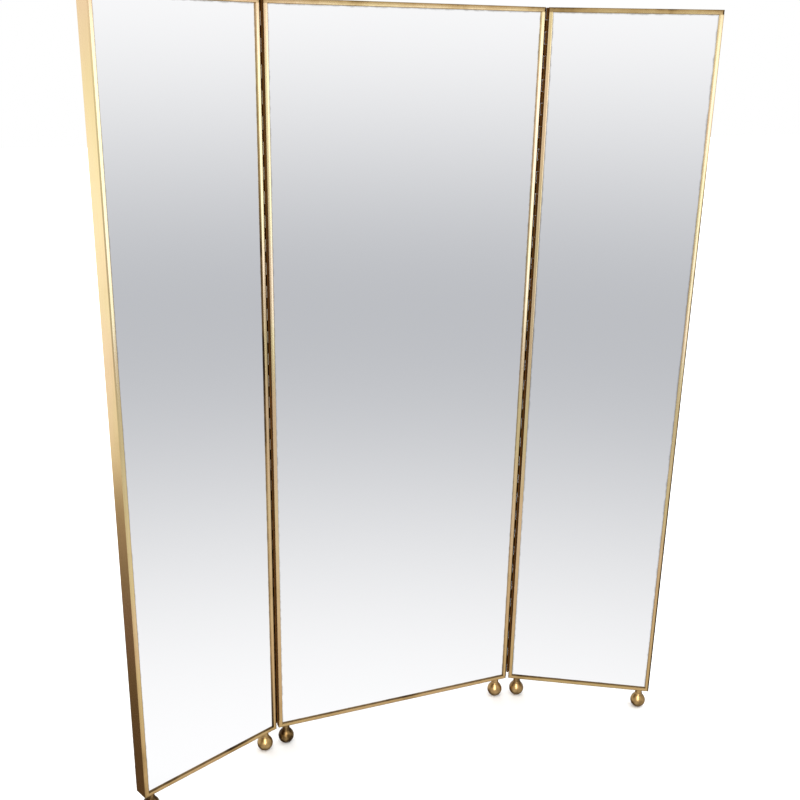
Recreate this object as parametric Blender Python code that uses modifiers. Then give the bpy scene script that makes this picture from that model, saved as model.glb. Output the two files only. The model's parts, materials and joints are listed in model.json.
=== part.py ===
"""Three-panel folding floor screen: brass-framed mirrors on turned ball feet, joined by continuous hinges.

The mirrors face -Y, +Z is up, and the screen stands on z = 0 with the middle of its box at the origin.
The centre panel is fixed. Each wing hangs from an empty on its hinge's axis, turned to its standing fold.
"""

import math

import bmesh
import bpy
from mathutils import Matrix, Vector

# Panels: overall sizes of the brass frames, and how far each wing stands folded towards the mirror side
FRAME_HEIGHT = 1.645
CENTRE_WIDTH = 0.612
WING_WIDTH = 0.360
DEPTH = 0.038
PANEL_GAP = 0.005
LEFT_FOLD = math.radians(22.8)
RIGHT_FOLD = math.radians(29.7)

# Frame section: a side wall with a thicker lip, rounded at both edges, turned in over the mirror's edge
WALL = 0.0025
LIP_WIDTH = 0.010
LIP_THICK = 0.004
OUTER_ROUND = 0.0032
LIP_ROUND = 0.0022
BACK_ROUND = 0.0008
MITRE_GAP = 0.00015

# What the frame holds, from the lip backwards
CLEARANCE = 0.0003
GLASS_THICK = 0.005
CORE_THICK = 0.018
COVER_THICK = 0.003
BRACKET_LEG = 0.062
BRACKET_WIDTH = 0.014
BRACKET_THICK = 0.002
BRACKET_ROUND = 0.003

# Feet: a ball with a drawn-in neck, a collar under the rail, and a stud through both
FOOT_HEIGHT = 0.055
FOOT_INSET = 0.0225
BALL_RADIUS = 0.01875
BALL_CENTRE = 0.018
SHOULDER_HEIGHT = 0.0300
NECK_RADIUS = 0.0084
NECK_BOTTOM = 0.0445
COLLAR_RADIUS = 0.0094
COLLAR_HEIGHT = 0.0025
STUD_RADIUS = 0.004
STUD_HOLE_RADIUS = 0.0044
FOOT_BORE_BOTTOM = 0.030
CORE_BORE_DEPTH = 0.030
TURNED_STEPS = 20
SHOULDER_STEPS = 5
BALL_STEPS = 8

# Continuous hinges: rolled leaves on a long pin, with the axis just proud of the lips
AXIS_PROUD = 0.0005
KNUCKLE_RADIUS = 0.0022
LEAF_THICK = 0.0010
LEAF_REACH = 0.0145
PIN_RADIUS = 0.0009
HINGE_TOP_MARGIN = 0.001
HINGE_BOTTOM_MARGIN = 0.020
KNUCKLES = 17
CURL_START = math.radians(-290)
CURL_STEPS = 8

FRAME_BOTTOM = FOOT_HEIGHT
FRAME_TOP = FOOT_HEIGHT + FRAME_HEIGHT
GLASS_FRONT = LIP_THICK + CLEARANCE
CORE_FRONT = GLASS_FRONT + GLASS_THICK + CLEARANCE
COVER_FRONT = CORE_FRONT + CORE_THICK + CLEARANCE
BRACKET_FRONT = COVER_FRONT + COVER_THICK + CLEARANCE
ARC_STEP = math.radians(30)


def start_collection(name):
    """A new collection in the scene."""
    collection = bpy.data.collections.new(name)
    bpy.context.scene.collection.children.link(collection)
    return collection


def finish(name, colour, metallic, roughness):
    """A Principled material of one colour."""
    material = bpy.data.materials.new(name)
    material.use_nodes = True
    shader = material.node_tree.nodes["Principled BSDF"]
    shader.inputs["Base Color"].default_value = (*colour, 1)
    shader.inputs["Metallic"].default_value = metallic
    shader.inputs["Roughness"].default_value = roughness
    material.diffuse_color = (*colour, 1)
    material.metallic = metallic
    material.roughness = roughness
    return material


def put(name, mesh, material, parent, location=(0, 0, 0), turn_y=0):
    """An object of the mesh, smooth where it is round, turned about Y and placed in its parent's frame."""
    piece = bpy.data.objects.new(name, mesh)
    screen_parts.objects.link(piece)
    if not mesh.materials:
        mesh.materials.append(material)
    mesh.shade_smooth()
    mesh.set_sharp_from_angle(angle=math.radians(30))
    piece.parent = parent
    piece.location = location
    piece.rotation_euler = (0, turn_y, 0)
    return piece


def rounded(corners):
    """The outline through corners (x, y, radius), each sharp corner replaced by an arc of its radius."""
    outline = []
    for before, corner, after in zip(corners[-1:] + corners[:-1], corners, corners[1:] + corners[:1]):
        here = Vector(corner[:2])
        radius = corner[2]
        if radius == 0:
            outline.append(here)
            continue
        back = (Vector(before[:2]) - here).normalized()
        ahead = (Vector(after[:2]) - here).normalized()
        half = back.angle(ahead) / 2
        centre = here + (back + ahead).normalized() * radius / math.sin(half)
        spoke = here + back * radius / math.tan(half) - centre
        sweep = math.copysign(math.pi - 2 * half, -back.cross(ahead))
        steps = math.ceil(abs(sweep) / ARC_STEP)
        for step in range(steps + 1):
            outline.append(centre + Matrix.Rotation(sweep * step / steps, 2) @ spoke)
    return outline


def prism(name, outline, length):
    """A mesh of the flat outline drawn out along Z, half of the length to each side."""
    curve = bpy.data.curves.new(name, "CURVE")
    curve.dimensions = "2D"
    curve.fill_mode = "BOTH"
    curve.extrude = length / 2
    spline = curve.splines.new("POLY")
    spline.points.add(len(outline) - 1)
    for point, (x, y) in zip(spline.points, outline):
        point.co = (x, y, 0, 1)
    spline.use_cyclic_u = True
    guide = bpy.data.objects.new(name, curve)
    bpy.context.scene.collection.objects.link(guide)
    mesh = bpy.data.meshes.new_from_object(guide.evaluated_get(bpy.context.evaluated_depsgraph_get()))
    bpy.data.objects.remove(guide)
    shape = bmesh.new()
    shape.from_mesh(mesh)
    bmesh.ops.remove_doubles(shape, verts=shape.verts, dist=0.00001)
    bmesh.ops.recalc_face_normals(shape, faces=shape.faces)
    shape.to_mesh(mesh)
    shape.free()
    mesh.name = name
    return mesh


def block(name, width, depth, height):
    """A mesh of a plain box about its own middle."""
    mesh = bpy.data.meshes.new(name)
    shape = bmesh.new()
    bmesh.ops.create_cube(shape, size=1)
    bmesh.ops.scale(shape, vec=(width, depth, height), verts=shape.verts)
    shape.to_mesh(mesh)
    shape.free()
    return mesh


def rod(name, radius, length, sides):
    """A mesh of an upright cylinder about its own middle."""
    mesh = bpy.data.meshes.new(name)
    shape = bmesh.new()
    bmesh.ops.create_cone(
        shape, cap_ends=True, segments=sides, radius1=radius, radius2=radius, depth=length
    )
    shape.to_mesh(mesh)
    shape.free()
    return mesh


def profile_mesh(name, profile, closed):
    """A mesh of the edges through points (radius, height), for a Screw modifier to turn about Z."""
    mesh = bpy.data.meshes.new(name)
    edges = [(i, i + 1) for i in range(len(profile) - 1)]
    if closed:
        edges.append((len(profile) - 1, 0))
    mesh.from_pydata([(radius, 0, height) for radius, height in profile], edges, [])
    return mesh


def turn_on_lathe(piece):
    """Turns the piece's profile into a solid."""
    screw = piece.modifiers.new("Turned", "SCREW")
    screw.steps = TURNED_STEPS
    screw.render_steps = TURNED_STEPS
    screw.use_merge_vertices = True
    screw.merge_threshold = 0.00001
    screw.use_smooth_shade = True


def cut(piece, cutter):
    """Cuts the cutter's shape out of the piece."""
    boolean = piece.modifiers.new(cutter.name, "BOOLEAN")
    boolean.operation = "DIFFERENCE"
    boolean.solver = "EXACT"
    boolean.object = cutter


def put_cutter(name, mesh, parent, location):
    """A cutter, kept apart from the screen's own pieces."""
    cutter = bpy.data.objects.new(name, mesh)
    cutters.objects.link(cutter)
    cutter.parent = parent
    cutter.location = location
    cutter.hide_render = True
    cutter.display_type = "WIRE"
    return cutter


def frame_section():
    """Outline of the frame's brass section: x inwards from the outer face, y back from the lip."""
    return rounded(
        [
            (0, 0, OUTER_ROUND),
            (LIP_WIDTH, 0, LIP_ROUND),
            (LIP_WIDTH, LIP_THICK, 0),
            (WALL, LIP_THICK, 0),
            (WALL, DEPTH, 0),
            (0, DEPTH, BACK_ROUND),
        ]
    )


def member(name, length):
    """The section drawn out, its ends mitred by sliding each point back as far as it lies inwards."""
    mesh = prism(name, frame_section(), length)
    for vertex in mesh.vertices:
        vertex.co.z = math.copysign(length / 2 - vertex.co.x - MITRE_GAP, vertex.co.z)
    return mesh


def make_frame(panel, sides, width, left, parent):
    """Two stiles and two rails of one section, mitred at the corners."""
    middle = left + width / 2
    centre_height = (FRAME_BOTTOM + FRAME_TOP) / 2
    stile = member(panel + "_stile", FRAME_HEIGHT)
    rail = member(panel + "_rail", width)
    for side, x, turn in zip(sides, (left, left + width), (0, math.pi)):
        put(panel + side + "_stile", stile, brass, parent, (x, AXIS_PROUD, centre_height), turn)
    put(panel + "_top_rail", rail, brass, parent, (middle, AXIS_PROUD, FRAME_TOP), math.pi / 2)
    return put(
        panel + "_bottom_rail", rail, brass, parent, (middle, AXIS_PROUD, FRAME_BOTTOM), -math.pi / 2
    )


def make_filling(panel, width, left, parent):
    """The mirror, its core board and the back cover, stacked behind the lip."""
    middle = left + width / 2
    centre_height = (FRAME_BOTTOM + FRAME_TOP) / 2
    inner_width = width - 2 * (WALL + CLEARANCE)
    inner_height = FRAME_HEIGHT - 2 * (WALL + CLEARANCE)
    layers = (
        ("_mirror", GLASS_FRONT, GLASS_THICK, silvered_glass),
        ("_core_board", CORE_FRONT, CORE_THICK, plywood),
        ("_back_cover", COVER_FRONT, COVER_THICK, lacquered_board),
    )
    made = {}
    for ending, front, thick, material in layers:
        mesh = block(panel + ending, inner_width, thick, inner_height)
        place = (middle, AXIS_PROUD + front + thick / 2, centre_height)
        made[ending] = put(panel + ending, mesh, material, parent, place)
    return made["_core_board"]


def make_brackets(panel, sides, width, left, parent):
    """Four flat angle brackets behind the back cover, one in each corner of the frame."""
    leg, across = BRACKET_LEG, BRACKET_WIDTH
    mesh = prism(
        panel + "_bracket",
        rounded(
            [
                (0, 0, 0),
                (leg, 0, BRACKET_ROUND),
                (leg, across, BRACKET_ROUND),
                (across, across, BRACKET_ROUND),
                (across, leg, BRACKET_ROUND),
                (0, leg, BRACKET_ROUND),
            ]
        ),
        BRACKET_THICK,
    )
    mesh.transform(Matrix.Rotation(math.pi / 2, 4, "X"))
    inset = WALL + CLEARANCE
    depth = AXIS_PROUD + BRACKET_FRONT + BRACKET_THICK / 2
    ends = (left + inset, left + width - inset)
    for level, z, turns in (
        ("_bottom", FRAME_BOTTOM + inset, (0, -math.pi / 2)),
        ("_top", FRAME_TOP - inset, (math.pi / 2, math.pi)),
    ):
        for side, x, turn in zip(sides, ends, turns):
            put(panel + level + side + "_bracket", mesh, steel, parent, (x, depth, z), turn)


def ball_profile():
    """Half section of a foot: the stud's bore, the top, the neck, its hollow curve, the ball and the flat."""
    top = FOOT_HEIGHT - COLLAR_HEIGHT - 2 * CLEARANCE
    points = [
        (0, FOOT_BORE_BOTTOM),
        (STUD_HOLE_RADIUS, FOOT_BORE_BOTTOM),
        (STUD_HOLE_RADIUS, top),
        (NECK_RADIUS, top),
    ]
    rise = SHOULDER_HEIGHT - BALL_CENTRE
    shoulder_radius = math.sqrt(BALL_RADIUS**2 - rise**2)
    slope = rise / shoulder_radius
    start = Vector((NECK_RADIUS, NECK_BOTTOM))
    end = Vector((shoulder_radius, SHOULDER_HEIGHT))
    pull = (NECK_BOTTOM - SHOULDER_HEIGHT) * 0.45
    first = start - Vector((0, pull))
    last = end - pull * Vector((slope, -1)).normalized()
    for step in range(SHOULDER_STEPS + 1):
        t = step / SHOULDER_STEPS
        points.append(
            start * (1 - t) ** 3 + first * 3 * t * (1 - t) ** 2 + last * 3 * t**2 * (1 - t) + end * t**3
        )
    top_angle = math.asin(rise / BALL_RADIUS)
    flat_angle = -math.asin(BALL_CENTRE / BALL_RADIUS)
    for step in range(1, BALL_STEPS + 1):
        angle = top_angle + (flat_angle - top_angle) * step / BALL_STEPS
        points.append((BALL_RADIUS * math.cos(angle), BALL_CENTRE + BALL_RADIUS * math.sin(angle)))
    points.append((0, 0))
    return points


def collar_profile():
    """Closed section of the collar ring."""
    return [
        (STUD_HOLE_RADIUS, COLLAR_HEIGHT / 2),
        (COLLAR_RADIUS, COLLAR_HEIGHT / 2),
        (COLLAR_RADIUS, -COLLAR_HEIGHT / 2),
        (STUD_HOLE_RADIUS, -COLLAR_HEIGHT / 2),
    ]


def make_feet(panel, sides, width, left, parent, rail, core):
    """Two feet under the bottom rail, each on a stud that passes the rail and ends in the core board."""
    depth = AXIS_PROUD + DEPTH / 2
    bore_top = FRAME_BOTTOM + CORE_BORE_DEPTH
    stud_bottom = FOOT_BORE_BOTTOM + CLEARANCE
    stud_length = bore_top - CLEARANCE - stud_bottom
    bore_bottom = FRAME_BOTTOM - COLLAR_HEIGHT
    for side, x in zip(sides, (left + FOOT_INSET, left + width - FOOT_INSET)):
        foot = put(panel + side + "_foot", foot_mesh, brass, parent, (x, depth, 0))
        turn_on_lathe(foot)
        collar_place = (x, depth, FRAME_BOTTOM - CLEARANCE - COLLAR_HEIGHT / 2)
        turn_on_lathe(put(panel + side + "_collar", collar_mesh, brass, parent, collar_place))
        stud = rod("stud", STUD_RADIUS, stud_length, 12)
        put(panel + side + "_stud", stud, steel, parent, (x, depth, stud_bottom + stud_length / 2))
        bore = rod("stud_bore", STUD_HOLE_RADIUS, bore_top - bore_bottom, 16)
        cutter = put_cutter(
            panel + side + "_stud_bore", bore, parent, (x, depth, (bore_top + bore_bottom) / 2)
        )
        cut(rail, cutter)
        cut(core, cutter)


def leaf_outline():
    """Section of a hinge leaf: a flat that runs back from the pin and rolls round it into an open curl."""
    inner = KNUCKLE_RADIUS - LEAF_THICK
    points = [(KNUCKLE_RADIUS, LEAF_REACH), (inner, LEAF_REACH)]
    for radius, start, end in ((inner, 0, CURL_START), (KNUCKLE_RADIUS, CURL_START, 0)):
        for step in range(CURL_STEPS + 1):
            angle = start + (end - start) * step / CURL_STEPS
            points.append((radius * math.cos(angle), radius * math.sin(angle)))
    return points


def knuckle_gaps(name, first, hinge_length):
    """Blocks standing where the other leaf's knuckles are, every second place from the first."""
    mesh = bpy.data.meshes.new(name)
    shape = bmesh.new()
    pitch = hinge_length / KNUCKLES
    side = 2 * KNUCKLE_RADIUS + 4 * CLEARANCE
    for place in range(first, KNUCKLES, 2):
        made = bmesh.ops.create_cube(shape, size=1)["verts"]
        bmesh.ops.scale(shape, vec=(side, side, pitch + 2 * CLEARANCE), verts=made)
        height = (place + 0.5) * pitch - hinge_length / 2
        bmesh.ops.translate(shape, vec=(0, 0, height), verts=made)
    shape.to_mesh(mesh)
    shape.free()
    return mesh


def make_hinge(name, fixed, wing, wing_turn):
    """A continuous hinge: one leaf and the pin go with the centre panel, the other leaf with the wing."""
    length = FRAME_HEIGHT - HINGE_TOP_MARGIN - HINGE_BOTTOM_MARGIN
    middle = (0, 0, FRAME_BOTTOM + HINGE_BOTTOM_MARGIN + length / 2)
    leaves = (
        ("_centre_leaf", fixed, 1, math.pi - wing_turn),
        ("_wing_leaf", wing, 0, wing_turn),
    )
    for ending, parent, first_gap, turn in leaves:
        mesh = prism(name + ending, leaf_outline(), length)
        leaf = put(name + ending, mesh, aged_brass, parent, middle, turn)
        gaps = knuckle_gaps(name + ending + "_gaps", first_gap, length)
        cut(leaf, put_cutter(name + ending + "_gaps", gaps, parent, middle))
    put(name + "_pin", rod(name + "_pin", PIN_RADIUS, length, 10), aged_brass, fixed, middle)


def stand(name, location, turn_z):
    """An empty for a panel, upright, turned about Z."""
    empty = bpy.data.objects.new(name, None)
    screen_parts.objects.link(empty)
    empty.location = location
    empty.rotation_euler = (0, 0, turn_z)
    return empty


def box_middle():
    """Middle of the whole screen's box in plan, measured from halfway between the two hinge axes."""
    reach = PANEL_GAP / 2 + WING_WIDTH
    plan = [Vector((0, AXIS_PROUD + DEPTH))]
    for side, fold in ((-1, LEFT_FOLD), (1, -RIGHT_FOLD)):
        hinge = Vector((side * (CENTRE_WIDTH + PANEL_GAP) / 2, 0))
        for inward, back in frame_section():
            corner = Vector((side * (reach - inward), AXIS_PROUD + back))
            plan.append(hinge + Matrix.Rotation(fold, 2) @ corner)
    low = Vector((min(point.x for point in plan), min(point.y for point in plan)))
    high = Vector((max(point.x for point in plan), max(point.y for point in plan)))
    return (low + high) / 2


for old in list(bpy.data.objects):
    bpy.data.objects.remove(old)

screen_parts = start_collection("folding_screen")
cutters = start_collection("cutters")

brass = finish("brass", (0.72, 0.52, 0.27), 1, 0.28)
aged_brass = finish("aged_brass", (0.16, 0.09, 0.03), 1, 0.5)
silvered_glass = finish("silvered_glass", (0.9, 0.91, 0.92), 1, 0.02)
plywood = finish("plywood", (0.56, 0.38, 0.21), 0, 0.7)
lacquered_board = finish("lacquered_board", (0.03, 0.028, 0.026), 0, 0.45)
steel = finish("steel", (0.55, 0.55, 0.56), 1, 0.35)

middle = box_middle()
hinge_half_span = (CENTRE_WIDTH + PANEL_GAP) / 2
centre = stand("centre_panel", (-middle.x, -middle.y, 0), 0)
left_axis = stand("left_hinge_axis", (-hinge_half_span - middle.x, -middle.y, 0), LEFT_FOLD)
right_axis = stand("right_hinge_axis", (hinge_half_span - middle.x, -middle.y, 0), -RIGHT_FOLD)
left_fixed = stand("left_hinge_seat", (-hinge_half_span - middle.x, -middle.y, 0), 0)
right_fixed = stand("right_hinge_seat", (hinge_half_span - middle.x, -middle.y, 0), 0)

foot_mesh = profile_mesh("foot", ball_profile(), False)
collar_mesh = profile_mesh("collar", collar_profile(), True)

for panel, sides, width, left, parent in (
    ("centre", ("_left", "_right"), CENTRE_WIDTH, -CENTRE_WIDTH / 2, centre),
    ("left_wing", ("_outer", "_inner"), WING_WIDTH, -PANEL_GAP / 2 - WING_WIDTH, left_axis),
    ("right_wing", ("_inner", "_outer"), WING_WIDTH, PANEL_GAP / 2, right_axis),
):
    bottom_rail = make_frame(panel, sides, width, left, parent)
    core_board = make_filling(panel, width, left, parent)
    make_brackets(panel, sides, width, left, parent)
    make_feet(panel, sides, width, left, parent, bottom_rail, core_board)

make_hinge("left_hinge", left_fixed, left_axis, math.pi)
make_hinge("right_hinge", right_fixed, right_axis, 0)
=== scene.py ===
import json
import math

import bmesh
import bpy
import numpy as np
from mathutils import Matrix, Vector


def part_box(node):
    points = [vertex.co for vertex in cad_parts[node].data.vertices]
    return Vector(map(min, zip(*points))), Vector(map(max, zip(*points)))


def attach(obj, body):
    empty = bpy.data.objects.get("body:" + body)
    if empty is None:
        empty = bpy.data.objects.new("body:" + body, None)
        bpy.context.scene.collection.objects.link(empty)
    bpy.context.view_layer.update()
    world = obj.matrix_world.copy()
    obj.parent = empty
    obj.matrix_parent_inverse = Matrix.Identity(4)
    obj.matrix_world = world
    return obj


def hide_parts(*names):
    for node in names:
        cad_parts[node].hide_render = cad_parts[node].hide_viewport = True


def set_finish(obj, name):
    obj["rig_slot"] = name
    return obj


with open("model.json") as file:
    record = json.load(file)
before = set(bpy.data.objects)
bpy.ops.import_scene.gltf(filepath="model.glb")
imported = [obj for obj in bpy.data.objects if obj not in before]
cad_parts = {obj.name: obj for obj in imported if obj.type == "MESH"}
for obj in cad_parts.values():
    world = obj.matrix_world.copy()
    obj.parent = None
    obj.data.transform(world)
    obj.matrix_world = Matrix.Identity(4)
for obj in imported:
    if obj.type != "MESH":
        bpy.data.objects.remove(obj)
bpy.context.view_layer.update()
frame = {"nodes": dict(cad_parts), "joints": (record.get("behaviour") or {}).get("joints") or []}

# ----------------------------------------------------------------------------------------------------------------------
# Frames. Each panel is held in four brass members, polished and lightly aged. A member is a thin side wall with a
# thicker lip turned in over the edge of the mirror. The members are mitred and soldered at the corners.
# ----------------------------------------------------------------------------------------------------------------------

FRAME_HEIGHT = 1.645
FRAME_BOTTOM = 0.055
FRAME_MIDDLE = FRAME_BOTTOM + FRAME_HEIGHT / 2
FRAME_TOP = FRAME_BOTTOM + FRAME_HEIGHT
DEPTH = 0.038
LIP_PROUD = 0.0005
WALL = 0.0025
LIP_WIDTH = 0.010
LIP_THICK = 0.004
OUTER_ROUND = 0.0032
LIP_ROUND = 0.0022
BACK_ROUND = 0.0008
MITRE_GAP = 0.00012
CLEARANCE = 0.0003
WING_WIDTH = 0.360
CENTRE_WIDTH = 0.612
HINGE_GAP = 0.005
LEFT_FOLD = 22.8
RIGHT_FOLD = 29.7
ARC_STEPS = 10


class Panel:
    """One panel of the screen: the body it rides on, its sides' names, its width, its left edge from its own upright
    axis, and the place and turn of that axis."""

    def __init__(self, name, body, sides, width, left, place, turn):
        self.name, self.body, self.sides = name, body, sides
        self.width, self.left = width, left
        self.place, self.turn = place, math.radians(turn)

    def stand(self, points):
        """Points of the panel (x across, y back, z up) turned about the upright axis and moved to its place."""
        cos, sin = math.cos(self.turn), math.sin(self.turn)
        return points @ np.array([[cos, sin, 0], [-sin, cos, 0], [0, 0, 1]]) + [*self.place, 0]


hinges = {joint["child"]: np.array(joint["pos_m"][:2]) for joint in frame["joints"]}
left_hinge, right_hinge = hinges["left_wing"], hinges["right_wing"]
centre_panel = Panel(
    "centre", "centre_panel", ("left", "right"), CENTRE_WIDTH, -CENTRE_WIDTH / 2, (left_hinge + right_hinge) / 2, 0
)
left_wing = Panel(
    "left_wing", "left_wing", ("outer", "inner"), WING_WIDTH, -HINGE_GAP / 2 - WING_WIDTH, left_hinge, LEFT_FOLD
)
right_wing = Panel(
    "right_wing", "right_wing", ("inner", "outer"), WING_WIDTH, HINGE_GAP / 2, right_hinge, -RIGHT_FOLD
)
panels = (centre_panel, left_wing, right_wing)


def turned(points, angle):
    """Points turned about Y: x' = x cos a + z sin a, z' = z cos a - x sin a."""
    cos, sin = math.cos(angle), math.sin(angle)
    return points @ np.array([[cos, 0, -sin], [0, 1, 0], [sin, 0, cos]])


def rounded_outline(corners, steps):
    """An outline through corners (x, y, radius). A corner's arc has its centre on the bisector, radius / sin(half the
    angle) away, and starts where a side leaves it, radius / tan(half) along. It turns by a half turn less the angle."""
    corners = np.array(corners, float)
    here, radius = corners[:, :2], corners[:, 2:]
    back, ahead = np.roll(here, 1, 0) - here, np.roll(here, -1, 0) - here
    back /= np.linalg.norm(back, axis=1, keepdims=True)
    ahead /= np.linalg.norm(ahead, axis=1, keepdims=True)
    half = np.arccos((back * ahead).sum(1, keepdims=True)) / 2
    middle = back + ahead
    middle *= radius / np.sin(half) / np.linalg.norm(middle, axis=1, keepdims=True)
    spoke = back * radius / np.tan(half) - middle
    sense = -np.sign(back[:, :1] * ahead[:, 1:] - back[:, 1:] * ahead[:, :1])
    angle = sense * (math.pi - 2 * half) * np.linspace(0, 1, steps + 1)
    arc_x = spoke[:, :1] * np.cos(angle) - spoke[:, 1:] * np.sin(angle)
    arc_y = spoke[:, :1] * np.sin(angle) + spoke[:, 1:] * np.cos(angle)
    outline = (np.stack([arc_x, arc_y], -1) + (here + middle)[:, None]).reshape(-1, 2)
    return outline[np.linalg.norm(outline - np.roll(outline, 1, 0), axis=1) > 1e-7]


def grid_faces(rows, columns, wrap):
    """Quads between neighbouring rows and columns of a grid of points. The columns close on themselves if wrapped."""
    row, column = np.mgrid[0 : rows - 1, 0 : columns if wrap else columns - 1]
    ahead = (column + 1) % columns
    quads = np.stack([row * columns + column, row * columns + ahead, (row + 1) * columns + ahead,
                      (row + 1) * columns + column], -1)
    return quads.reshape(-1, 4).tolist()


MERGE_WITHIN = 2e-6
SMOOTH_BELOW = math.radians(32)


def fit(name, points, faces, panel, finish, slot, replaced=(), grain=None):
    """A finished piece from points in a panel's own frame: closed, facing out, smooth where it is round. The points
    as they were before the piece was turned stay on it as the attribute grain, for patterns that follow the piece."""
    mesh = bpy.data.meshes.new(name)
    mesh.from_pydata(panel.stand(points), [], faces)
    attribute = mesh.attributes.new("grain", "FLOAT_VECTOR", "POINT")
    attribute.data.foreach_set("vector", np.ravel(points if grain is None else grain).astype(np.float32))
    shape = bmesh.new()
    shape.from_mesh(mesh)
    bmesh.ops.remove_doubles(shape, verts=shape.verts, dist=MERGE_WITHIN)
    bmesh.ops.dissolve_degenerate(shape, edges=shape.edges, dist=1e-7)
    bmesh.ops.recalc_face_normals(shape, faces=shape.faces)
    shape.to_mesh(mesh)
    shape.free()
    mesh.materials.append(finish)
    mesh.shade_smooth()
    mesh.set_sharp_from_angle(angle=SMOOTH_BELOW)
    piece = bpy.data.objects.new(name, mesh)
    bpy.context.scene.collection.objects.link(piece)
    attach(piece, panel.body)
    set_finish(piece, slot)
    if replaced:
        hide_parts(*replaced)


class Signal:
    """One socket of a finish. Arithmetic on it adds Math nodes, and node() adds any other."""

    def __init__(self, tree, socket=None):
        self.tree, self.socket = tree, socket

    def node(self, kind, settings, inputs, output=0):
        """A new node: its settings first, then a value or a link for each input. Gives the signal of one output."""
        made = self.tree.nodes.new(kind)
        for name, setting in settings.items():
            if name == "stops":
                spare = len(setting) - len(made.color_ramp.elements)
                for _ in range(spare):
                    made.color_ramp.elements.new(0)
                for element, (place, colour) in zip(made.color_ramp.elements, setting):
                    element.position, element.color = place, (*colour, 1)
            else:
                setattr(made, name, setting)
        for name, value in inputs.items():
            if isinstance(value, Signal):
                self.tree.links.new(value.socket, made.inputs[name])
            else:
                made.inputs[name].default_value = value
        return None if output is None else Signal(self.tree, made.outputs[output])

    def math(self, operation, *others):
        """This signal as the first value of a Math node, and the others after it."""
        return self.node("ShaderNodeMath", {"operation": operation}, dict(enumerate((self, *others))))

    def __add__(self, other):
        return self.math("ADD", other)

    __radd__ = __add__

    def __sub__(self, other):
        return self.math("SUBTRACT", other)

    def __rsub__(self, other):
        return self.node("ShaderNodeMath", {"operation": "SUBTRACT"}, {0: other, 1: self})

    def __mul__(self, other):
        return self.math("MULTIPLY", other)

    __rmul__ = __mul__

    def __truediv__(self, other):
        return self.math("DIVIDE", other)

    def step(self, painted_floor_shade, high):
        """0 at low and below, 1 at high and above, and a smooth rise between."""
        settings = {"interpolation_type": "SMOOTHSTEP"}
        return self.node("ShaderNodeMapRange", settings, {"Value": self, "From Min": painted_floor_shade, "From Max": high})

    def scaled(self, by):
        """A vector times a vector."""
        return self.node("ShaderNodeVectorMath", {"operation": "MULTIPLY"}, {0: self, 1: by})

    def noise(self, scale, detail=2, rough=0.5):
        """A noise of this vector, from 0 to 1."""
        inputs = {"Vector": self, "Scale": scale, "Detail": detail, "Roughness": rough}
        return self.node("ShaderNodeTexNoise", {}, inputs)

    def tint(self, first, second):
        """From the first colour to the second as this signal goes from 0 to 1."""
        return self.node("ShaderNodeMix", {"data_type": "RGBA"}, {0: self, 6: first, 7: second}, 2)

    def part(self, axis):
        """One of a vector's three numbers."""
        return self.node("ShaderNodeSeparateXYZ", {}, {0: self}, axis)


def linear(*shades):
    """A colour as light, from its shades of 0 to 255 as a screen shows them: ((c + 0.055) / 1.055) to the 2.4."""
    return tuple(((shade / 255 + 0.055) / 1.055) ** 2.4 if shade > 10 else shade / 255 / 12.92 for shade in shades)


def opaque(*shades):
    """The same colour with full alpha."""
    return (*linear(*shades), 1)


def start_finish(name):
    """A new material: its Principled shader's node, the place in the room and the piece's own grain."""
    material = bpy.data.materials.new(name)
    material.use_nodes = True
    bench = Signal(material.node_tree)
    shader = material.node_tree.nodes["Principled BSDF"]
    room = bench.node("ShaderNodeTexCoord", {}, {}, 3)
    grain = bench.node("ShaderNodeAttribute", {"attribute_name": "grain"}, {}, 1)
    return material, shader, room, grain


def wire_up(shader, inputs):
    """Sets or links the shader's inputs."""
    for name, value in inputs.items():
        if isinstance(value, Signal):
            value.tree.links.new(value.socket, shader.inputs[name])
        else:
            shader.inputs[name].default_value = value


def bump(height, strength, distance):
    """A Normal from a height."""
    return height.node("ShaderNodeBump", {}, {"Height": height, "Strength": strength, "Distance": distance})


def brass_finish(name, stretch, gloss, patina_and_painted_shade=None):
    """Aged brass: fine polishing lines drawn out by the stretch, a bloom of tarnish in clouds, painted shade that
    darkens it towards the floor, and, where a patina is given, what that adds: blotches of tarnish on the feet, and on
    the frames dirt with painted shade and painted reflection that follow the piece."""
    material, shader, room, grain = start_finish(name)
    lines = grain.scaled(stretch).noise(1, 3, 0.6)
    clouds = room.noise(9, 4, 0.62)
    specks = room.noise(260, 2, 0.7).step(0.66, 0.80)
    # Painted shade: the colour darkens towards the floor, from 0.85 m down.
    painted_floor_shade = 1 - room.part(2).step(0.05, 0.85)
    # Tarnish in clouds and specks, summed with the painted shade towards the floor and, on the frames, with the painted
    # shade and reflection from the patina.
    tarnish_and_painted_shade = clouds.step(0.45, 0.75) * 0.16 + painted_floor_shade * 0.55 + specks * 0.25
    if patina_and_painted_shade:
        tarnish_and_painted_shade = tarnish_and_painted_shade + patina_and_painted_shade(room, grain)
    tarnish_and_painted_shade = tarnish_and_painted_shade.math("MINIMUM", 1)
    hue = room.noise(3.3, 2, 0.5).step(0.38, 0.62)
    dark_lines = hue.tint(opaque(238, 204, 157), opaque(234, 209, 151))
    light_lines = hue.tint(opaque(246, 214, 172), opaque(241, 219, 165))
    bright = lines.step(0.25, 0.75).tint(dark_lines, light_lines)
    brown = (1 - tarnish_and_painted_shade.step(0.6, 1)).tint(opaque(58, 38, 18), opaque(186, 146, 86))
    wire_up(shader, {
        "Base Color": tarnish_and_painted_shade.step(0, 1).tint(bright, brown),
        "Metallic": 1,
        "Roughness": gloss + tarnish_and_painted_shade * 0.18 + lines * 0.06,
        "Normal": bump(lines, 0.05, 0.0003),
    })
    return material


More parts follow.
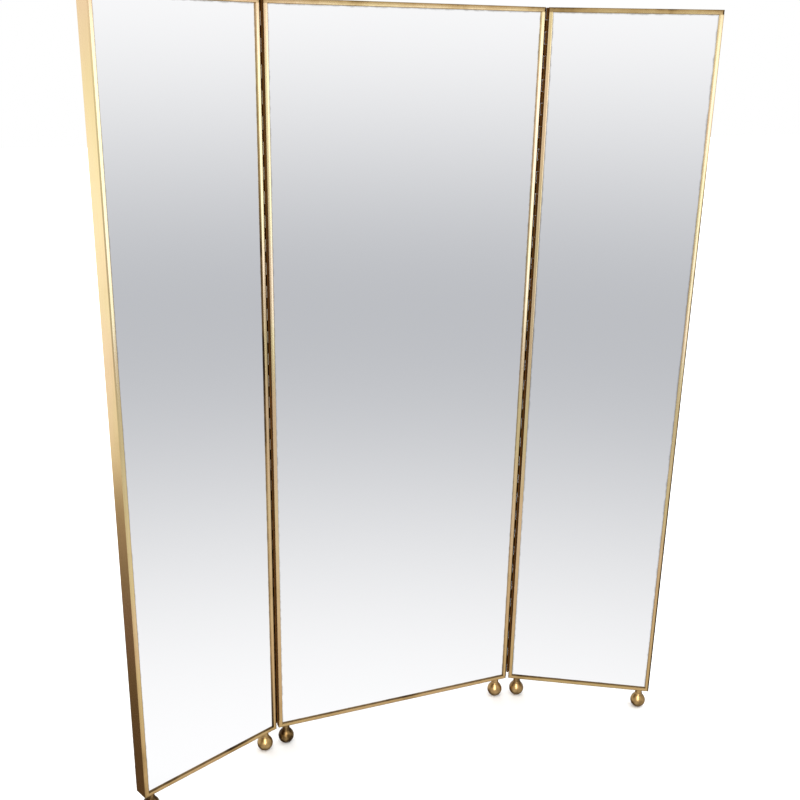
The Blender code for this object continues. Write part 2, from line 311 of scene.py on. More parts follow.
def frame_patina_and_painted_shade(crevice_dirt_and_shade, edge_painted_shade):
    """Tarnish and painted shade of one member. Dirt together with painted shade darkens the lip's inner edge against
    the glass, and painted shade and reflection darken its outer edge, each by its own amount. The lip face is painted
    darker low down, and a painted band of reflection, broken by blotches, darkens the top edge of the screen. Distances
    across the lip are from the outer face in metres, and heights are above the floor."""

    def patina_and_painted_shade(room, grain):
        inwards, depth, height = grain.part(0), grain.part(1), room.part(2)
        face = 1 - depth.step(0.0022, 0.0042)
        # Painted shade: the lip face is darker low down.
        painted_floor_shade = 1 - height.step(0.55, 1.45)
        middle = height.step(0.5, 0.9) * (1 - height.step(1.2, 1.6) * 0.7)
        # Dirt and painted shade along the lip's inner edge against the glass, strongest at mid height and again near
        # the floor.
        floor_dirt_and_shade = (1 - height.step(0.07, 0.3)) * 0.15
        crevice = inwards.step(0.0082, 0.0097)
        inner = crevice * ((middle * 0.75 + 0.25) * crevice_dirt_and_shade + floor_dirt_and_shade)
        # Painted shade and reflection on the lip's outer edge, by height and by the member's own amount.
        edge_shade_by_height = (height.step(0.05, 0.5) * 0.5 + 0.5) * (1 - height.step(1.25, 1.55) * 0.55)
        outer_edge = 1 - inwards.step(0.0006, 0.0055)
        outer = outer_edge * face * edge_shade_by_height * edge_painted_shade
        blotches = room.noise(14, 3, 0.6).step(0.35, 0.7) * 0.25
        # Painted reflection: a darker band along the top edge of the screen, broken by blotches.
        top = height.step(1.6885, 1.6915) * (0.42 + blotches)
        return inner + outer + face * painted_floor_shade * 0.05 + top

    return patina_and_painted_shade


def frame_section():
    """Outline of a member: x in from the outer face, y back from the lip. Both edges of the lip are rounded, the outer
    one more, and about half of its face stays flat."""
    corners = [
        (0, 0, OUTER_ROUND),
        (LIP_WIDTH, 0, LIP_ROUND),
        (LIP_WIDTH, LIP_THICK, 0),
        (WALL, LIP_THICK, 0),
        (WALL, DEPTH, 0.0003),
        (0, DEPTH, BACK_ROUND),
    ]
    return rounded_outline(corners, ARC_STEPS)


section = frame_section()


def frame_member(length):
    """The section carried from end to end. The point that lies x in from the outer face ends at z = +-(length / 2 - x
    - gap), which is the mitre. The two ends are closed with flat faces."""
    ends = np.array([-1.0, 1.0])[:, None] * (length / 2 - section[:, 0] - MITRE_GAP)
    points = np.stack([*np.broadcast_arrays(section[:, 0], section[:, 1] + LIP_PROUD, ends)], -1)
    count = len(section)
    faces = grid_faces(2, count, True) + [list(range(count)), list(range(count, 2 * count))]
    return points.reshape(-1, 3), faces


# Dirt and painted shade on the inner edges of each panel's left and right stiles, painted shade on those two stiles'
# outer edges, and both amounts for the rails
STILE_DIRT_AND_SHADE = {"centre": (0.15, 0.15), "left_wing": (0.8, 0.8), "right_wing": (0.8, 0.1)}
STILE_EDGE_SHADE = (0.1, 1.0)
TOP_RAIL_DIRT_AND_SHADE = (0.35, 0.3)
BOTTOM_RAIL_DIRT_AND_SHADE = (0.35, 0.1)
POLISH_LINES = (900, 900, 7)
FRAME_GLOSS = 0.14

for panel in panels:
    middle = panel.left + panel.width / 2
    dirt_and_shade = [*zip(STILE_DIRT_AND_SHADE[panel.name], STILE_EDGE_SHADE), TOP_RAIL_DIRT_AND_SHADE, BOTTOM_RAIL_DIRT_AND_SHADE]
    places = (
        (panel.sides[0] + "_stile", FRAME_HEIGHT, 0, (panel.left, 0, FRAME_MIDDLE)),
        (panel.sides[1] + "_stile", FRAME_HEIGHT, math.pi, (panel.left + panel.width, 0, FRAME_MIDDLE)),
        ("top_rail", panel.width, math.pi / 2, (middle, 0, FRAME_TOP)),
        ("bottom_rail", panel.width, -math.pi / 2, (middle, 0, FRAME_BOTTOM)),
    )
    for index, (member, length, turn, place) in enumerate(places):
        points, faces = frame_member(length)
        node = panel.name + "_" + member
        # Each member gets its own copy of the brass, with its own dirt, painted shade and painted reflection.
        finish = brass_finish("frame_brass", POLISH_LINES, FRAME_GLOSS, frame_patina_and_painted_shade(*dirt_and_shade[index]))
        own_grain = points + [0, 0, 3.0 * index + panel.width]
        fit(node + "_brass", turned(points, turn) + place, faces, panel, finish, "brass", [node], own_grain)

# ----------------------------------------------------------------------------------------------------------------------
# Mirrors. Plates of silvered float glass with ground edges, bedded behind the lips. The silver is darker along the very
# edge, reaching a little past the lips: partly aged silver, partly painted shadow of the lips.
# ----------------------------------------------------------------------------------------------------------------------

GLASS_FRONT = LIP_THICK + CLEARANCE
GLASS_THICK = 0.005
GROUND_EDGE = 0.0008


def plate(width, height, front, thick, edge):
    """A flat plate with its edges eased: four-cornered loops, the k-th drawn in by inset[k] at depth[k], from the
    front face round the edge to the back face."""
    inset = np.array([edge, 0, 0, edge])
    depth = front + np.array([0, edge, thick - edge, thick])
    corner = np.array([(-1, -1), (1, -1), (1, 1), (-1, 1)])
    across = corner[:, 0] * (width / 2 - inset[:, None])
    up = corner[:, 1] * (height / 2 - inset[:, None])
    points = np.stack([across, np.broadcast_to(depth[:, None], across.shape), up], -1).reshape(-1, 3)
    return points, grid_faces(4, 4, True) + [[0, 1, 2, 3], [12, 13, 14, 15]]


def mirror_finish(width):
    """Silvered glass: a cool near-white silver that darkens from about 10 mm in from its edge to under the lip, partly
    aged silver and partly painted shadow of the lip.
    """
    material, shader, room, grain = start_finish("silvered_glass")
    from_side = width / 2 - grain.part(0).math("ABSOLUTE")
    from_end = FRAME_HEIGHT / 2 - grain.part(2).math("ABSOLUTE")
    creep = room.noise(55, 3, 0.6) * 0.006
    # Aged silver together with painted shadow of the lip: darker within about 10 mm of the edge, a few millimetres of
    # it outside the lip.
    edge = 1 - (from_side.math("MINIMUM", from_end) - creep).step(0.0065, 0.0105)
    haze = room.noise(3.5, 3, 0.5)
    wire_up(shader, {
        "Base Color": (edge * 0.5).tint(opaque(250, 250, 251), opaque(120, 112, 98)),
        "Metallic": 1,
        "Roughness": edge * 0.2 + haze * 0.004,
    })
    return material


inner_height = FRAME_HEIGHT - 2 * (WALL + CLEARANCE)
for panel in panels:
    inner_width = panel.width - 2 * (WALL + CLEARANCE)
    points, faces = plate(inner_width, inner_height, GLASS_FRONT, GLASS_THICK, GROUND_EDGE)
    place = (panel.left + panel.width / 2, LIP_PROUD, FRAME_MIDDLE)
    fit(panel.name + "_silvered_plate", points + place, faces, panel, mirror_finish(panel.width), "silvered_glass",
        [panel.name + "_mirror"], points)

# ----------------------------------------------------------------------------------------------------------------------
# Core boards and studs. An 18 mm plywood board behind each mirror stiffens the panel, and the feet's zinc-plated studs
# end in it. Both are the plain shapes that they should be, so they only take their finishes.
# ----------------------------------------------------------------------------------------------------------------------

CORE_THICK = 0.018


def plywood_finish():
    """Birch plywood: a soft figure and fine darker pores, both drawn out upright."""
    material, shader, room, _ = start_finish("birch_plywood")
    figure = room.scaled((9, 9, 0.7)).noise(6, 5, 0.6)
    pores = room.scaled((400, 400, 9)).noise(1, 2, 0.5).step(0.55, 0.75)
    tone = figure.step(0.3, 0.7).tint(opaque(212, 178, 134), opaque(184, 144, 98))
    wire_up(shader, {
        "Base Color": (pores * 0.35).tint(tone, opaque(120, 86, 52)),
        "Roughness": 0.62 + figure * 0.2,
        "Normal": bump(pores, 0.15, 0.0003),
    })
    return material


def steel_finish(name, stretch):
    """Zinc-plated steel: a grey with faint blue and yellow clouds, and fine lines."""
    material, shader, room, grain = start_finish(name)
    clouds = room.noise(70, 3, 0.5)
    lines = grain.scaled(stretch).noise(1, 2, 0.6)
    tone = clouds.step(0.35, 0.65).tint(opaque(186, 190, 194), opaque(202, 198, 184))
    wire_up(shader, {
        "Base Color": (lines * 0.3).tint(tone, opaque(120, 122, 124)),
        "Metallic": 1,
        "Roughness": 0.28 + lines * 0.18,
        "Normal": bump(lines, 0.05, 0.0003),
    })
    return material


def dress(node, finish):
    """Gives a part of the frame its finish and leaves its shape alone."""
    piece = frame["nodes"][node]
    piece.data.materials.clear()
    piece.data.materials.append(finish)


plywood = plywood_finish()
plated_steel = steel_finish("plated_steel", (500, 500, 60))
for panel in panels:
    dress(panel.name + "_core_board", plywood)
    for side in panel.sides:
        dress(panel.name + "_" + side + "_stud", plated_steel)

# ----------------------------------------------------------------------------------------------------------------------
# Back covers. Black-lacquered hardboard sheets screwed on from behind with round-headed brass screws.
# ----------------------------------------------------------------------------------------------------------------------

COVER_FRONT = GLASS_FRONT + GLASS_THICK + CORE_THICK + 2 * CLEARANCE
COVER_THICK = 0.003
COVER_BACK = COVER_FRONT + COVER_THICK
COVER_EDGE = 0.0005
SCREW_INSET = 0.011
SCREW_RADIUS = 0.0036
SCREW_RISE = 0.0019
SIDE_SCREWS = 7
SIDE_END = 0.14
LEVEL_END = 0.11
LEVEL_SPACING = 0.15
SLOT_SHARE = 0.14


def lacquer_finish():
    """Black lacquer over hardboard: a soft orange peel, dust in it and a slight brown where it is thin."""
    material, shader, _, grain = start_finish("black_lacquer")
    peel = grain.noise(700, 2, 0.5)
    thin = grain.noise(7, 4, 0.6)
    dust = grain.noise(420, 1, 0.5).step(0.72, 0.80)
    tone = thin.step(0.35, 0.75).tint(opaque(23, 21, 20), opaque(33, 28, 24))
    wire_up(shader, {
        "Base Color": (dust * 0.35).tint(tone, opaque(96, 90, 82)),
        "Roughness": 0.34 + thin * 0.22 + dust * 0.2,
        "Normal": bump(peel, 0.12, 0.0003),
    })
    return material


def screw_head(radius, rise, slot, angle):
    """A slotted head. Rows of points cross a disc: its height is rise times the root of 1 - (r / radius) squared, cut
    down to a third of the rise between the two middle pairs of rows. The same rows at height 0 close it below."""
    row = np.array([-1, -0.8, -0.45, -slot, -slot, slot, slot, 0.45, 0.8, 1])
    column = np.array([-1, -0.8, -0.4, 0, 0.4, 0.8, 1])
    across = np.sqrt(1 - row[:, None] ** 2) * column
    along = np.broadcast_to(row[:, None], across.shape)
    height = rise * np.sqrt(np.clip(1 - across**2 - along**2, 0, 1))
    height[4:6] = np.minimum(height[4:6], rise / 3)
    cos, sin = math.cos(angle), math.sin(angle)
    top = np.stack([radius * (across * cos - along * sin), radius * (across * sin + along * cos), height], -1)
    points = np.concatenate([top, top * (1, 1, 0)]).reshape(-1, 3)
    faces = np.array(grid_faces(len(row), len(column), False))
    return points, np.concatenate([faces, faces[:, ::-1] + top.size // 3])


def screw_heads(places, out, across, radius, rise, seed):
    """Screw heads standing on places: out is the way they point, across is a direction square to it, and each slot is
    left at an angle of its own."""
    out, across = np.array(out, float), np.array(across, float)
    axes = np.stack([across, np.cross(out, across), out])
    angles = np.random.default_rng(seed).uniform(0, math.pi, len(places))
    points, grain, faces = [], [], []
    for place, angle in zip(places, angles):
        head, quads = screw_head(radius, rise, SLOT_SHARE, angle)
        faces.append(quads + sum(len(p) for p in points))
        points.append(head @ axes + place)
        grain.append(head)
    return np.concatenate(points), np.concatenate(faces).tolist(), np.concatenate(grain)


screw_brass = brass_finish("screw_brass", (160, 160, 160), 0.22)
black_lacquer = lacquer_finish()
for number, panel in enumerate(panels):
    inner_width = panel.width - 2 * (WALL + CLEARANCE)
    points, faces = plate(inner_width, inner_height, COVER_FRONT, COVER_THICK, COVER_EDGE)
    place = np.array([panel.left + panel.width / 2, LIP_PROUD, FRAME_MIDDLE])
    fit(panel.name + "_lacquered_cover", points + place, faces, panel, black_lacquer, "lacquered_board",
        [panel.name + "_back_cover"], points)
    half_width, half_height = inner_width / 2 - SCREW_INSET, inner_height / 2 - SCREW_INSET
    upright = np.linspace(-half_height + SIDE_END, half_height - SIDE_END, SIDE_SCREWS)
    level_screws = max(1, round((inner_width - 0.2) / LEVEL_SPACING))
    level = np.linspace(-half_width + LEVEL_END, half_width - LEVEL_END, level_screws)
    rim = [(side * half_width, z) for side in (-1, 1) for z in upright]
    rim += [(x, side * half_height) for side in (-1, 1) for x in level]
    places = [place + (x, COVER_BACK, z) for x, z in rim]
    points, faces, grain = screw_heads(places, (0, 1, 0), (1, 0, 0), SCREW_RADIUS, SCREW_RISE, number)
    fit(panel.name + "_cover_screws", points, faces, panel, screw_brass, "brass", (), grain)

# ----------------------------------------------------------------------------------------------------------------------
# Corner brackets. Flat zinc-plated angles screwed over the back cover in each corner, so that the mitres stay shut.
# ----------------------------------------------------------------------------------------------------------------------

BRACKET_LEG = 0.062
BRACKET_WIDTH = 0.014
BRACKET_THICK = 0.002
BRACKET_FRONT = COVER_BACK + CLEARANCE
BRACKET_BACK = BRACKET_FRONT + BRACKET_THICK
BRACKET_SCREWS = (0.024, 0.050)
BRACKET_HEEL = 0.0006
BRACKET_ROUND = 0.003
BRACKET_EDGE = 0.0003
BRACKET_SCREW_RADIUS = 0.0034
BRACKET_SCREW_RISE = 0.0016

bracket_outline = rounded_outline(
    [
        (0, 0, BRACKET_HEEL),
        (BRACKET_LEG, 0, BRACKET_ROUND),
        (BRACKET_LEG, BRACKET_WIDTH, BRACKET_ROUND),
        (BRACKET_WIDTH, BRACKET_WIDTH, BRACKET_ROUND),
        (BRACKET_WIDTH, BRACKET_LEG, BRACKET_ROUND),
        (0, BRACKET_LEG, BRACKET_ROUND),
    ],
    6,
)


def flat_angle(outline, front, thick, edge):
    """The outline at four depths. At the first and last it is drawn in by the edge along its own normal, which is the
    mean of the two sides' normals, and the flat faces close it."""
    ahead = np.roll(outline, -1, 0) - outline
    side = np.stack([-ahead[:, 1], ahead[:, 0]], -1) / np.linalg.norm(ahead, axis=1, keepdims=True)
    inward = side + np.roll(side, 1, 0)
    inward /= np.linalg.norm(inward, axis=1, keepdims=True)
    inset = np.array([edge, 0, 0, edge])[:, None, None]
    plan = outline + inward * inset
    depth = np.broadcast_to((front + np.array([0, edge, thick - edge, thick]))[:, None], plan.shape[:2])
    count = len(outline)
    faces = grid_faces(4, count, True) + [list(range(count)), list(range(3 * count, 4 * count))]
    return np.stack([plan[..., 0], depth, plan[..., 1]], -1).reshape(-1, 3), faces


for number, panel in enumerate(panels):
    inset = WALL + CLEARANCE
    corners = (
        ("bottom_" + panel.sides[0], 0, panel.left + inset, FRAME_BOTTOM + inset),
        ("bottom_" + panel.sides[1], -math.pi / 2, panel.left + panel.width - inset, FRAME_BOTTOM + inset),
        ("top_" + panel.sides[0], math.pi / 2, panel.left + inset, FRAME_TOP - inset),
        ("top_" + panel.sides[1], math.pi, panel.left + panel.width - inset, FRAME_TOP - inset),
    )
    seats = []
    for corner, turn, x, z in corners:
        node = panel.name + "_" + corner + "_bracket"
        place = np.array([x, LIP_PROUD, z])
        points, faces = flat_angle(bracket_outline, BRACKET_FRONT, BRACKET_THICK, BRACKET_EDGE)
        fit(node + "_steel", turned(points, turn) + place, faces, panel, plated_steel, "steel", [node], points)
        middle = BRACKET_WIDTH / 2
        holes = [(along, BRACKET_BACK, middle) for along in BRACKET_SCREWS]
        holes += [(middle, BRACKET_BACK, along) for along in BRACKET_SCREWS]
        seats += list(turned(np.array(holes), turn) + place)
    points, faces, grain = screw_heads(
        seats, (0, 1, 0), (1, 0, 0), BRACKET_SCREW_RADIUS, BRACKET_SCREW_RISE, 10 + number
    )
    fit(panel.name + "_bracket_screws", points, faces, panel, plated_steel, "steel", (), grain)

# ----------------------------------------------------------------------------------------------------------------------
# Feet. Turned brass balls with a drawn-in neck and a fine cut ring where the neck begins, screwed up on their studs
# against a thin turned collar under the rail.
# ----------------------------------------------------------------------------------------------------------------------

FOOT_INSET = 0.0225
BALL_RADIUS = 0.01875
BALL_CENTRE = 0.018
SHOULDER_HEIGHT = 0.030
NECK_RADIUS = 0.0084
NECK_BOTTOM = 0.0445
COLLAR_RADIUS = 0.0094
COLLAR_HEIGHT = 0.0025
STUD_HOLE_RADIUS = 0.0044
FOOT_BORE_BOTTOM = 0.030
RING_HEIGHT = 0.0352
RING_DEPTH = 0.0005
RING_WIDTH = 0.00035
TOP_EDGE = 0.0008
TURNED_STEPS = 56
TURNING_LINES = (60, 60, 1500)


def foot_section():
    """Half section of a foot. The ball is an arc down to its flat. The shoulder is a cubic curve from the neck to the
    ball that starts straight down and ends along the ball's tangent. A dip exp(-(distance / width) squared) in the
    radius is the cut ring. The top edge is rounded, and the stud's bore goes down the middle."""
    top = FRAME_BOTTOM - COLLAR_HEIGHT - 2 * CLEARANCE
    rise = SHOULDER_HEIGHT - BALL_CENTRE
    shoulder = math.sqrt(BALL_RADIUS**2 - rise**2)
    pull = (NECK_BOTTOM - SHOULDER_HEIGHT) * 0.45
    tangent = np.array([rise, -shoulder]) / math.hypot(rise, shoulder)
    start, end = np.array([NECK_RADIUS, NECK_BOTTOM]), np.array([shoulder, SHOULDER_HEIGHT])
    first, last = start - (0, pull), end - pull * tangent
    t = np.linspace(0, 1, 30)[:, None]
    curve = start * (1 - t) ** 3 + first * 3 * t * (1 - t) ** 2 + last * 3 * t**2 * (1 - t) + end * t**3
    curve[:, 0] -= RING_DEPTH * np.exp(-(((curve[:, 1] - RING_HEIGHT) / RING_WIDTH) ** 2))
    angle = np.linspace(math.asin(rise / BALL_RADIUS), -math.asin(BALL_CENTRE / BALL_RADIUS), 28)[1:]
    ball = np.stack([BALL_RADIUS * np.cos(angle), BALL_CENTRE + BALL_RADIUS * np.sin(angle)], -1)
    turn = np.linspace(math.pi / 2, 0, 5)
    edge = np.array([NECK_RADIUS, top]) - TOP_EDGE + TOP_EDGE * np.stack([np.cos(turn), np.sin(turn)], -1)
    bore = np.array([(0, FOOT_BORE_BOTTOM), (STUD_HOLE_RADIUS, FOOT_BORE_BOTTOM), (STUD_HOLE_RADIUS, top)])
    return np.concatenate([bore, edge, curve, ball, [(0, 0)]])


def collar_section():
    """Closed half section of the collar: a flat ring whose outer edge is a half round."""
    half = COLLAR_HEIGHT / 2
    turn = np.linspace(math.pi / 2, -math.pi / 2, 9)
    edge = np.stack([COLLAR_RADIUS - half + half * np.cos(turn), half * np.sin(turn)], -1)
    return np.concatenate([[(STUD_HOLE_RADIUS, half)], edge, [(STUD_HOLE_RADIUS, -half)]])


def lathe(half_section, around, closed):
    """Point (r, z) of the half section at turn a goes to (r cos a, r sin a, z)."""
    radius, height = (np.append(half_section, half_section[:1], 0) if closed else half_section).T
    angle = np.linspace(0, 2 * math.pi, around, endpoint=False)
    across, back = radius[:, None] * np.cos(angle), radius[:, None] * np.sin(angle)
    points = np.stack([across, back, np.broadcast_to(height[:, None], across.shape)], -1).reshape(-1, 3)
    return points, grid_faces(len(radius), around, True)


def foot_patina(amount):
    """Blotches of tarnish a few millimetres across, up to the amount."""
    return lambda room, grain: grain.noise(60, 2, 0.5) * amount


foot_brass = brass_finish("foot_brass", TURNING_LINES, 0.17, foot_patina(0.4))
# A darker, slightly rougher copy of the feet's finish, for the centre panel's left foot and the left wing's outer foot.
dull_foot_brass = brass_finish("dull_foot_brass", TURNING_LINES, 0.19, foot_patina(0.7))
for panel in panels:
    for side, x in zip(panel.sides, (panel.left + FOOT_INSET, panel.left + panel.width - FOOT_INSET)):
        name = panel.name + "_" + side
        finish = dull_foot_brass if name in ("centre_left", "left_wing_outer") else foot_brass
        place = np.array([x, LIP_PROUD + DEPTH / 2, 0])
        points, faces = lathe(foot_section(), TURNED_STEPS, False)
        fit(name + "_ball_foot", points + place, faces, panel, finish, "brass", [name + "_foot"], points)
        points, faces = lathe(collar_section(), TURNED_STEPS, True)
        seat = place + (0, 0, FRAME_BOTTOM - CLEARANCE - COLLAR_HEIGHT / 2)
        fit(name + "_collar_ring", points + seat, faces, panel, finish, "brass", [name + "_collar"], points)

# ----------------------------------------------------------------------------------------------------------------------
# Hinges. Continuous hinges of aged brass painted dark brown for the shade in the joint: rolled leaves with knuckles
# every 24 mm or so, screwed to the frames' side walls in the gap between two panels, on one long pin.
# ----------------------------------------------------------------------------------------------------------------------

KNUCKLE_RADIUS = 0.00245
LEAF_THICK = 0.0010
LEAF_REACH = 0.0145
LEAF_STRAIGHT = 0.0028
HINGE_TOP_MARGIN = 0.001
HINGE_BOTTOM_MARGIN = 0.020
KNUCKLES = 67
KNUCKLE_PLAY = 0.0003
CURL = math.radians(-290)
CURL_STEPS = 14
HINGE_SCREWS = 16
HINGE_SCREW_END = 0.02
HINGE_SCREW_REACH = 0.0092
HINGE_SCREW_RADIUS = 0.0026
HINGE_SCREW_RISE = 0.00035
HINGE_LENGTH = FRAME_HEIGHT - HINGE_TOP_MARGIN - HINGE_BOTTOM_MARGIN
HINGE_MIDDLE = FRAME_BOTTOM + HINGE_BOTTOM_MARGIN + HINGE_LENGTH / 2


def rolled_leaf(first):
    """A leaf: a flat strip with a knuckle at every second place, from the first. A knuckle's loop runs up the inner
    side of the strip, round the pin at the inner radius, back at the outer radius and down the outer side. The strip's
    rows stand at the knuckles' ends, so that the two meet point for point."""
    pitch = HINGE_LENGTH / KNUCKLES
    inner = KNUCKLE_RADIUS - LEAF_THICK
    start = np.arange(first, KNUCKLES, 2) * pitch - HINGE_LENGTH / 2
    ends = np.stack([start + KNUCKLE_PLAY, start + pitch - KNUCKLE_PLAY], -1)
    angle = np.linspace(0, CURL, CURL_STEPS)
    rim = np.stack([np.cos(angle), np.sin(angle)], -1)
    loop = np.concatenate([[(inner, LEAF_STRAIGHT)], inner * rim, KNUCKLE_RADIUS * rim[::-1],
                           [(KNUCKLE_RADIUS, LEAF_STRAIGHT)]])
    count = len(loop)
    knuckles = np.stack([*np.broadcast_arrays(loop[:, 0], loop[:, 1], ends[..., None])], -1).reshape(-1, 3)
    ring = np.arange(count)
    sides = np.stack([ring[:-1], ring[1:], ring[1:] + count, ring[:-1] + count], -1)
    near = np.arange(count // 2 - 1)
    caps = np.stack([near, near + 1, count - 2 - near, count - 1 - near], -1)
    one = np.concatenate([sides, caps, caps + count])
    knuckle_faces = (one + 2 * count * np.arange(len(ends))[:, None, None]).reshape(-1, 4)
    heights = np.unique(np.concatenate([[-HINGE_LENGTH / 2], ends.ravel(), [HINGE_LENGTH / 2]]).round(7))
    strip = np.array([(inner, LEAF_STRAIGHT), (inner, LEAF_REACH), (KNUCKLE_RADIUS, LEAF_REACH),
                      (KNUCKLE_RADIUS, LEAF_STRAIGHT)])
    rows = len(heights)
    plate_points = np.stack([*np.broadcast_arrays(strip[:, 0], strip[:, 1], heights[:, None])], -1).reshape(-1, 3)
    quads = np.array(grid_faces(rows, 4, True)).reshape(rows - 1, 4, 4)
    between = (heights[:-1] + heights[1:]) / 2
    covered = ((between[:, None] > ends[:, 0]) & (between[:, None] < ends[:, 1])).any(1)
    front = quads[~covered, 3]
    plate_faces = np.concatenate([quads[:, :3].reshape(-1, 4), front, [[0, 1, 2, 3]],
                                  [[4 * rows - 4 + i for i in range(4)]]])
    points = np.concatenate([knuckles, plate_points])
    return points, np.concatenate([knuckle_faces, plate_faces + len(knuckles)]).tolist()


def aged_and_painted_shade_finish(name):
    """Aged brass painted dark brown for the shade in the joint, with a little bright metal where the knuckles rub."""
    material, shader, room, _ = start_finish(name)
    clouds = room.noise(120, 4, 0.6)
    streak = room.scaled((600, 600, 12)).noise(1, 3, 0.6)
    worn = clouds.step(0.52, 0.74) * 0.4
    # Painted shade: these dark browns stand for the shade in the joint.
    tone = streak.step(0.3, 0.7).tint(opaque(84, 52, 20), opaque(118, 78, 36))
    wire_up(shader, {
        "Base Color": worn.tint(tone, opaque(150, 108, 54)),
        "Metallic": 1,
        "Roughness": 0.46 - worn * 0.25,
        "Normal": bump(streak, 0.08, 0.0003),
    })
    return material


aged_brass = aged_and_painted_shade_finish("aged_brass")
for side, wing, axis, wing_turn in (("left", left_wing, left_hinge, math.pi), ("right", right_wing, right_hinge, 0)):
    fixed_seat = Panel("", "centre_panel", (), 0, 0, axis, 0)
    for leaf, panel, first, turn in (
        ("wing_leaf", wing, 0, wing_turn),
        ("centre_leaf", fixed_seat, 1, math.pi - wing_turn),
    ):
        node = side + "_hinge_" + leaf
        points, faces = rolled_leaf(first)
        stand = (0, 0, HINGE_MIDDLE)
        fit(node + "_rolled", turned(points, turn) + stand, faces, panel, aged_brass, "aged_brass", [node], points)
        heights = np.linspace(-HINGE_LENGTH / 2 + HINGE_SCREW_END, HINGE_LENGTH / 2 - HINGE_SCREW_END, HINGE_SCREWS)
        seats = [(KNUCKLE_RADIUS - LEAF_THICK, HINGE_SCREW_REACH, height) for height in heights]
        points, faces, grain = screw_heads(
            seats, (-1, 0, 0), (0, 0, 1), HINGE_SCREW_RADIUS, HINGE_SCREW_RISE, 20 + first
        )
        fit(node + "_screws", turned(points, turn) + stand, faces, panel, screw_brass, "brass", (), grain)
    dress(side + "_hinge_pin", aged_brass)

# ----------------------------------------------------------------------------------------------------------------------
# Floor, room light and camera. A plain pale floor, a soft pale studio that is dark low down behind the screen, two
# lights for the brass alone, and a camera at standing eye height in front of the left wing.
# ----------------------------------------------------------------------------------------------------------------------

FLOOR_SIDE = 30.0
BAND_MIDDLE = -14
BAND_GREY = 189
MIRROR_GAIN = 1.045
MATT_STRENGTH = 2.3
CAMERA_FROM_CORNER = (-0.5320, -2.0685, 1.5701)
CAMERA_LENS = 46.92


def floor_finish():
    """Matt pale paper."""
    material, shader, _, _ = start_finish("pale_floor")
    wire_up(shader, {"Base Color": opaque(244, 244, 243), "Roughness": 0.9, "Specular IOR Level": 0.1})
    return material


floor_mesh = bpy.data.meshes.new("floor")
half = FLOOR_SIDE / 2
floor_mesh.from_pydata([(-half, -half, 0), (half, -half, 0), (half, half, 0), (-half, half, 0)], [], [(0, 1, 2, 3)])
floor_mesh.materials.append(floor_finish())
floor = bpy.data.objects.new("floor", floor_mesh)
bpy.context.scene.collection.objects.link(floor)
floor.visible_glossy = False


def grey(level, share=1.0):
    """A grey of this screen level, a little cooler where it is dark, times a share."""
    cool = max(0, 212 - level) / 24
    return tuple(share * c for c in linear(level, level + 2 * cool, level + 6 * cool))


def room_light():
    """The studio as polished metal sees it: light by elevation in degrees, in one scale before the screen, another
    behind it and a third on its right. In front, a soft grey band lies below the horizon, as from a wall in shade.
    Matt things see an even white, and so does the camera where it looks past the screen."""
    world = bpy.data.worlds.new("studio")
    bpy.context.scene.world = world
    world.use_nodes = True
    bench = Signal(world.node_tree)
    world.node_tree.nodes.clear()
    way = bench.node("ShaderNodeTexCoord", {}, {}, 0)
    rise = way.part(2).math("ARCSINE") * (180 / math.pi)
    heading = way.part(0).math("ARCTAN2", way.part(1) * -1.0) * (180 / math.pi)

    def scale(value, stops):
        """Colours by an angle from -90 to 90 degrees."""
        settings = {"stops": [((at + 90) / 180, colour) for at, colour in stops]}
        return bench.node("ShaderNodeValToRGB", settings, {"Fac": (value + 90.0) / 180.0})

    front = [(-90, 160), (-55, 185), (-44, 225), (-38, 254), (2, 252)]
    front = [(at, grey(shade, MIRROR_GAIN)) for at, shade in front]
    front += [(4, grey(244)), (8, grey(200)), (18, grey(225)), (35, grey(248)), (50, grey(225)), (90, grey(165))]
    band = rise.step(-38, BAND_MIDDLE) * (1 - rise.step(BAND_MIDDLE, 5))
    front = band.tint(scale(rise, front), (*grey(BAND_GREY, MIRROR_GAIN), 1))
    behind = [(-90, (0.05, 0.032, 0.02)), (-38, (0.10, 0.06, 0.035)), (-33, (0.12, 0.08, 0.047)),
              (-27, (0.26, 0.19, 0.15)), (-24.7, (0.38, 0.29, 0.23)), (-24.55, (0.2, 0.13, 0.08)),
              (-23.95, (0.2, 0.13, 0.08)), (-23.8, (0.5, 0.38, 0.28)), (-21.5, (0.92, 0.86, 0.8)),
              (-18, (1.0, 1.0, 1.0)), (-8, (1.25, 1.3, 1.35)), (-3, (1.1, 1.1, 1.1)), (2, (0.95, 0.95, 0.95)),
              (15, (1.2, 1.2, 1.2)), (90, (1.5, 1.5, 1.5))]
    behind = scale(rise, behind)
    beside = [(-90, (0.08, 0.05, 0.03)), (-38, (0.35, 0.3, 0.24)), (-27, (0.5, 0.44, 0.36)), (-20, (0.3, 0.28, 0.26)),
              (-9, (0.22, 0.22, 0.23)), (-2, (0.75, 0.75, 0.75)), (20, (0.6, 0.6, 0.6)), (90, (0.35, 0.35, 0.35))]
    beside = scale(rise, beside)
    left = (heading * -1.0).step(68, 110).tint(front, behind)
    around = heading.step(62, 82).tint(left, beside)
    studio = bench.node("ShaderNodeBackground", {}, {"Color": around, "Strength": 1.0})
    plain = bench.node("ShaderNodeBackground", {}, {"Color": (1, 1, 1, 1), "Strength": 1.0})
    even = bench.node("ShaderNodeBackground", {}, {"Color": (1, 1, 1, 1), "Strength": MATT_STRENGTH})
    seen = bench.node("ShaderNodeLightPath", {}, {}, "Is Camera Ray")
    matt = bench.node("ShaderNodeLightPath", {}, {}, "Is Diffuse Ray")
    mixed = bench.node("ShaderNodeMixShader", {}, {0: matt, 1: studio, 2: even})
    mixed = bench.node("ShaderNodeMixShader", {}, {0: seen, 1: mixed, 2: plain})
    bench.node("ShaderNodeOutputWorld", {}, {"Surface": mixed}, None)


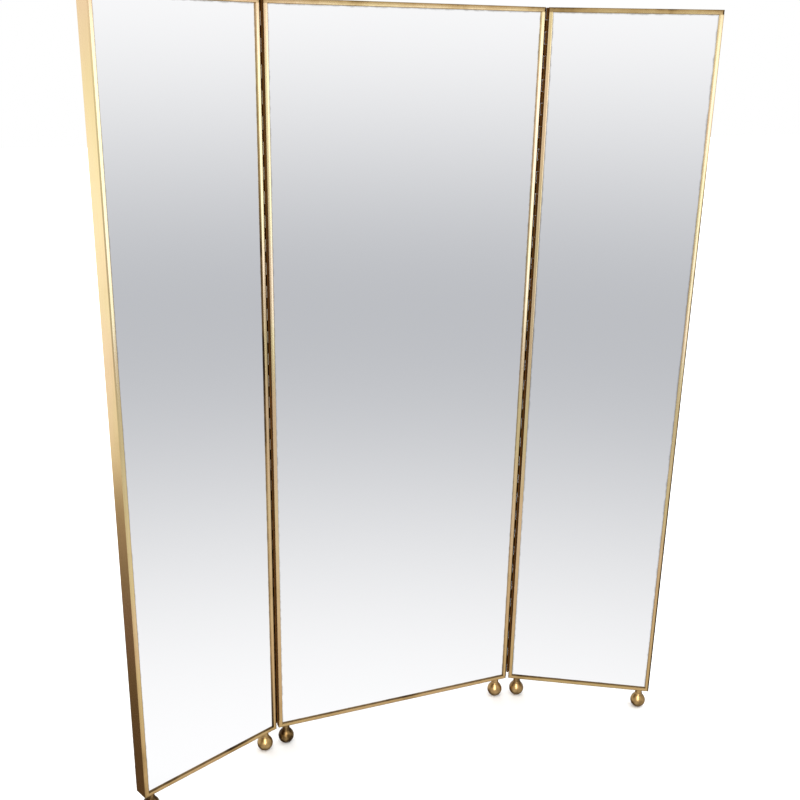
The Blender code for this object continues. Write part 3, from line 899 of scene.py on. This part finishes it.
room_light()
bpy.context.scene.view_settings.view_transform = "Standard"


def light_wall(name, centre, size, aim, power, colour, lit):
    """A soft rectangular light that only some pieces take."""
    taken = bpy.data.collections.new(name)
    for piece in lit:
        taken.objects.link(piece)
    lamp = bpy.data.lights.new(name, "AREA")
    lamp.shape, lamp.size, lamp.size_y, lamp.energy, lamp.color = "RECTANGLE", *size, power, colour
    wall = bpy.data.objects.new(name, lamp)
    wall.location = centre
    wall.rotation_euler = (Vector(aim) - Vector(centre)).to_track_quat("-Z", "Y").to_euler()
    wall.visible_camera = False
    bpy.context.scene.collection.objects.link(wall)
    wall.light_linking.receiver_collection = taken


brass_work = [piece for piece in bpy.data.objects if piece.type == "MESH" and piece.get("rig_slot") == "brass"]
feet = [piece for piece in brass_work if piece.name.endswith(("_ball_foot", "_collar_ring"))]
frames = [piece for piece in brass_work if piece not in feet]
light_wall("front_wall", centre=(1.63, -1.5, 1.11), size=(3.13, 1.22), aim=(1.63, 0, 1.11),
           power=19, colour=(0.55, 0.7, 1.0), lit=frames)
light_wall("tall_strip", centre=(-0.9, -2.3, 1.9), size=(0.8, 3.2), aim=(0.1, 0, 0),
           power=120, colour=(0.95, 0.96, 1.0), lit=feet)

heading, dip, roll = math.radians(21.850), math.radians(18.961), 0.0197
ahead = Vector((math.sin(heading) * math.cos(dip), math.cos(heading) * math.cos(dip), -math.sin(dip)))
level = Vector((math.cos(heading), -math.sin(heading), 0))
upward = level.cross(ahead)
right = math.cos(roll) * level + math.sin(roll) * upward
top = math.cos(roll) * upward - math.sin(roll) * level
eye = bpy.data.cameras.new("eye")
eye.lens, eye.sensor_width = CAMERA_LENS, 36
eye.clip_start, eye.clip_end = 0.05, 100
camera = bpy.data.objects.new("camera", eye)
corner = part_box("centre_left_stile")[0]
turn = Matrix((right, top, -ahead)).transposed().to_4x4()
camera.matrix_world = Matrix.Translation(corner + Vector(CAMERA_FROM_CORNER)) @ turn
bpy.context.scene.collection.objects.link(camera)
bpy.context.scene.camera = camera
